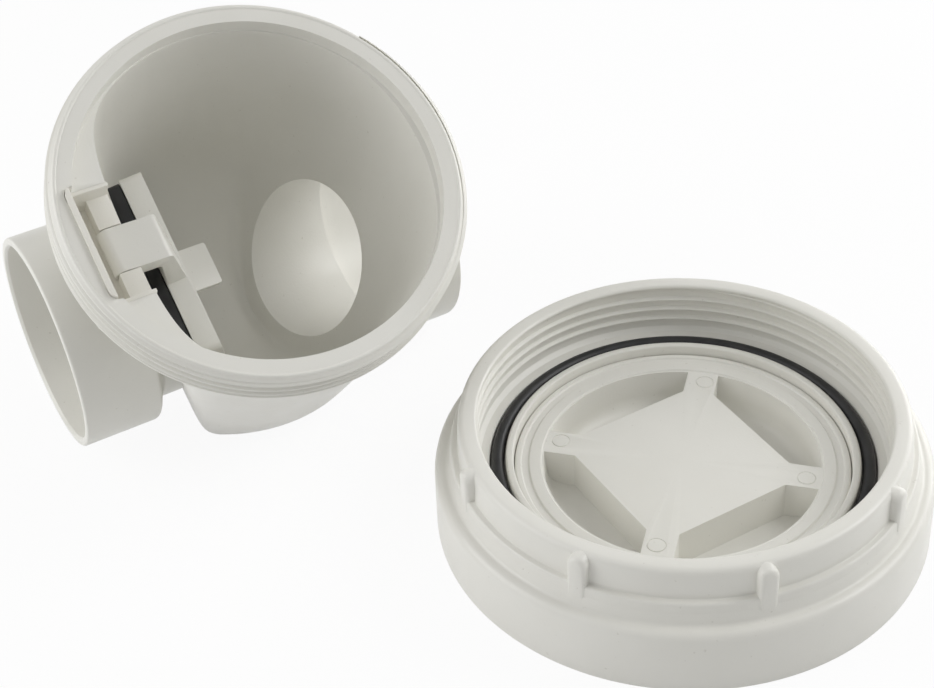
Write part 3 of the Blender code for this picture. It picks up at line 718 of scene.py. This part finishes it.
def value_range(tree, value, low, high, to_low, to_high):
    made = tree.nodes.new("ShaderNodeMapRange")
    made.inputs["From Min"].default_value = low
    made.inputs["From Max"].default_value = high
    made.inputs["To Min"].default_value = to_low
    made.inputs["To Max"].default_value = to_high
    tree.links.new(value, made.inputs["Value"])
    return made.outputs["Result"]


def bump(tree, shader, height, strength, distance):
    made = tree.nodes.new("ShaderNodeBump")
    made.inputs["Strength"].default_value = strength
    made.inputs["Distance"].default_value = distance
    tree.links.new(height, made.inputs["Height"])
    tree.links.new(made.outputs["Normal"], shader.inputs["Normal"])


def moulded(name, base, shade, roughness, stain=0.35):
    """Moulded plastic: faint flow clouds, fine grain, rubbed spots and small dark specks."""
    made, tree, shader = node_tree(name)
    place = tree.nodes.new("ShaderNodeTexCoord").outputs["Object"]
    clouds = noise(tree, place, 14.0, 4.0)
    colour = ramp(tree, clouds, [(0.3, shade), (0.7, base)])
    specks = noise(tree, place, 420.0, 2.0, 0.4)
    dust = ramp(tree, specks, [(0.73, (1.0, 1.0, 1.0)), (0.8, (0.62, 0.6, 0.55))])
    colour = mix(tree, stain, colour, dust, "MULTIPLY")
    tree.links.new(colour, shader.inputs["Base Color"])
    rub = noise(tree, place, 55.0, 5.0, 0.65)
    uneven = value_range(tree, rub, 0.3, 0.7, roughness - 0.07, roughness + 0.09)
    tree.links.new(uneven, shader.inputs["Roughness"])
    grain = noise(tree, place, 900.0, 3.0)
    bump(tree, shader, grain, 0.12, 0.0004)
    shader.inputs["IOR"].default_value = 1.52
    shader.inputs["Specular IOR Level"].default_value = 0.5
    shader.inputs["Subsurface Weight"].default_value = 0.0
    return made


def rubber(name):
    """Black rubber with a dull, slightly uneven skin."""
    made, tree, shader = node_tree(name)
    place = tree.nodes.new("ShaderNodeTexCoord").outputs["Object"]
    clouds = noise(tree, place, 60.0, 4.0)
    colour = ramp(tree, clouds, [(0.35, (0.012, 0.012, 0.013)), (0.7, (0.03, 0.03, 0.031))])
    tree.links.new(colour, shader.inputs["Base Color"])
    tree.links.new(value_range(tree, clouds, 0.3, 0.7, 0.38, 0.55), shader.inputs["Roughness"])
    bump(tree, shader, noise(tree, place, 1200.0, 2.0), 0.15, 0.0003)
    return made


def steel(name):
    """Bright drawn steel with faint clouding."""
    made, tree, shader = node_tree(name)
    place = tree.nodes.new("ShaderNodeTexCoord").outputs["Object"]
    clouds = noise(tree, place, 120.0, 4.0)
    colour = ramp(tree, clouds, [(0.35, (0.5, 0.49, 0.47)), (0.7, (0.63, 0.62, 0.6))])
    tree.links.new(colour, shader.inputs["Base Color"])
    tree.links.new(value_range(tree, clouds, 0.3, 0.7, 0.22, 0.38), shader.inputs["Roughness"])
    bump(tree, shader, noise(tree, place, 1500.0, 2.0), 0.1, 0.0002)
    shader.inputs["Metallic"].default_value = 1.0
    return made


PVC = moulded("pvc_white", (0.80, 0.79, 0.74), (0.765, 0.755, 0.70), 0.36)
CREAM = moulded("hinge_cream", (0.815, 0.80, 0.74), (0.77, 0.75, 0.68), 0.4, stain=0.5)
RUBBER = rubber("rubber_black")
STEEL = steel("pin_steel")


def dress(made, finish, slot_name, body, *nodes):
    """Gives a piece its finish, the nodes that it stands in for and the body that carries it. The slot name
    is not used.
    """
    made.data.materials.clear()
    made.data.materials.append(finish)
    if nodes:
        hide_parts(*nodes)
    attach(made, body)


def smoothed(name, node, width):
    """A softened copy of a solid, with rounded edges and smooth shading, that stands in for it."""
    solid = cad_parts[node]
    made = link(name, solid.data.copy())
    form = bmesh.new()
    form.from_mesh(made.data)
    bmesh.ops.remove_doubles(form, verts=form.verts[:], dist=0.00002)
    bmesh.ops.dissolve_limit(form, angle_limit=math.radians(2), verts=form.verts[:], edges=form.edges[:])
    form.to_mesh(made.data)
    form.free()
    return soften(made, width=width, angle=32, segments=2)


dress(valve_shell(), PVC, "pvc_white", "valve", "valve_body")
rim_thread = helix(
    "rim_thread",
    root=THREAD_ROOT,
    crest=THREAD_RADIUS - 0.0002,
    start_height=0.0985,
    turns=2.75,
    pitch=0.0062,
    base=0.0026,
    tip=0.001,
    start_angle=2.2,
)
dress(placed(rim_thread, VALVE), PVC, "pvc_white", "valve")
dress(carrier_shell(), CREAM, "hinge_cream", "valve", "hinge_carrier")
dress(smoothed("pin_shell", "hinge_pin", 0.0002), STEEL, "pin_steel", "valve", "hinge_pin")
dress(flap_shell(), PVC, "pvc_white", "flap_unit", "flap")
dress(flap_rubber(), RUBBER, "rubber_black", "flap_unit", "flap_seal")
dress(lid_shell(), PVC, "pvc_white", "lid_unit", "lid")
lid_thread = helix(
    "lid_thread",
    root=LID_THREAD_ROOT,
    crest=LID_BORE,
    start_height=0.0395,
    turns=3.45,
    pitch=0.0066,
    base=0.0034,
    tip=0.0014,
    start_angle=math.radians(263),
)
dress(placed(lid_thread, LID), PVC, "pvc_white", "lid_unit")
lid_ring_seal = ring("lid_ring_seal", 0.0925, 0.0993, 0.0288, 0.0366, 0.0033, LID)
dress(lid_ring_seal, RUBBER, "rubber_black", "lid_unit", "lid_seal")
dress(plug_shell(), PVC, "pvc_white", "plug_unit", "inspection_plug")
plug_ring_seal = ring("plug_ring_seal", 0.0873, 0.0932, 0.0113, 0.0132, 0.0005, LID)
dress(plug_ring_seal, RUBBER, "rubber_black", "plug_carriage", "plug_seal")


FLOOR_REACH = 60
PAPER_SHARE = 0.93
WORLD_LEVEL = 0.42
LAMP_AIM = Vector((0.06, -0.1, 0.05))
LAMPS = (
    ("top_light", (0.1, 0.2, 1.8), 1.4, 0.5),
    ("left_light", (-1.25, 0.45, 0.85), 1.2, 12.5),
    ("right_light", (1.15, -0.7, 1.1), 0.8, 9.0),
    ("end_light", (1.6, 0.1, 0.45), 0.9, 9.0),
)


def stage():
    """A floor that looks white when seen directly or mirrored, pale surroundings and soft lamps."""
    corners = [(a * FLOOR_REACH, b * FLOOR_REACH, 0) for a, b in ((-1, -1), (1, -1), (1, 1), (-1, 1))]
    floor = from_faces("floor", corners, [(0, 1, 2, 3)], tidy=False)
    made, tree, shader = node_tree("floor_paper")
    shader.inputs["Base Color"].default_value = (0.86, 0.86, 0.86, 1.0)
    shader.inputs["Roughness"].default_value = 0.9
    shader.inputs["Specular IOR Level"].default_value = 0.1
    paper = tree.nodes.new("ShaderNodeEmission")
    blend = tree.nodes.new("ShaderNodeMixShader")
    seen = tree.nodes.new("ShaderNodeLightPath")
    rays = tree.nodes.new("ShaderNodeMath")
    rays.operation = "MAXIMUM"
    tree.links.new(seen.outputs["Is Camera Ray"], rays.inputs[0])
    tree.links.new(seen.outputs["Is Glossy Ray"], rays.inputs[1])
    share = tree.nodes.new("ShaderNodeMath")
    share.operation = "MULTIPLY"
    share.inputs[1].default_value = PAPER_SHARE
    tree.links.new(rays.outputs[0], share.inputs[0])
    tree.links.new(share.outputs[0], blend.inputs[0])
    tree.links.new(shader.outputs[0], blend.inputs[1])
    tree.links.new(paper.outputs[0], blend.inputs[2])
    tree.links.new(blend.outputs[0], tree.nodes["Material Output"].inputs["Surface"])
    floor.data.materials.append(made)

    world = bpy.data.worlds.new("studio")
    bpy.context.scene.world = world
    world.use_nodes = True
    world.node_tree.nodes["Background"].inputs["Color"].default_value = (1.0, 1.0, 1.0, 1.0)
    world.node_tree.nodes["Background"].inputs["Strength"].default_value = WORLD_LEVEL

    for name, place, size, power in LAMPS:
        lamp = bpy.data.lights.new(name, "AREA")
        lamp.energy = power
        lamp.size = size
        made = bpy.data.objects.new(name, lamp)
        bpy.context.scene.collection.objects.link(made)
        made.location = place
        made.rotation_euler = (LAMP_AIM - Vector(place)).to_track_quat("-Z", "Y").to_euler()


def camera():
    """The photograph's view, from a fit to the ellipses of the lid and the valve."""
    data = bpy.data.cameras.new("camera")
    data.sensor_width = 36.0
    data.lens = 1750.0 / 934.0 * data.sensor_width
    data.clip_start = 0.01
    made = bpy.data.objects.new("camera", data)
    bpy.context.scene.collection.objects.link(made)
    columns = ((0.8654, -0.4982, -0.0540), (0.3457, 0.5156, 0.7840), (-0.3627, -0.6972, 0.6184))
    place = Matrix(columns).transposed().to_4x4()
    place.translation = (-0.2596, -0.7562, 0.6484)
    made.matrix_world = place
    bpy.context.scene.camera = made


stage()
camera()
bpy.context.scene.view_settings.view_transform = "Standard"
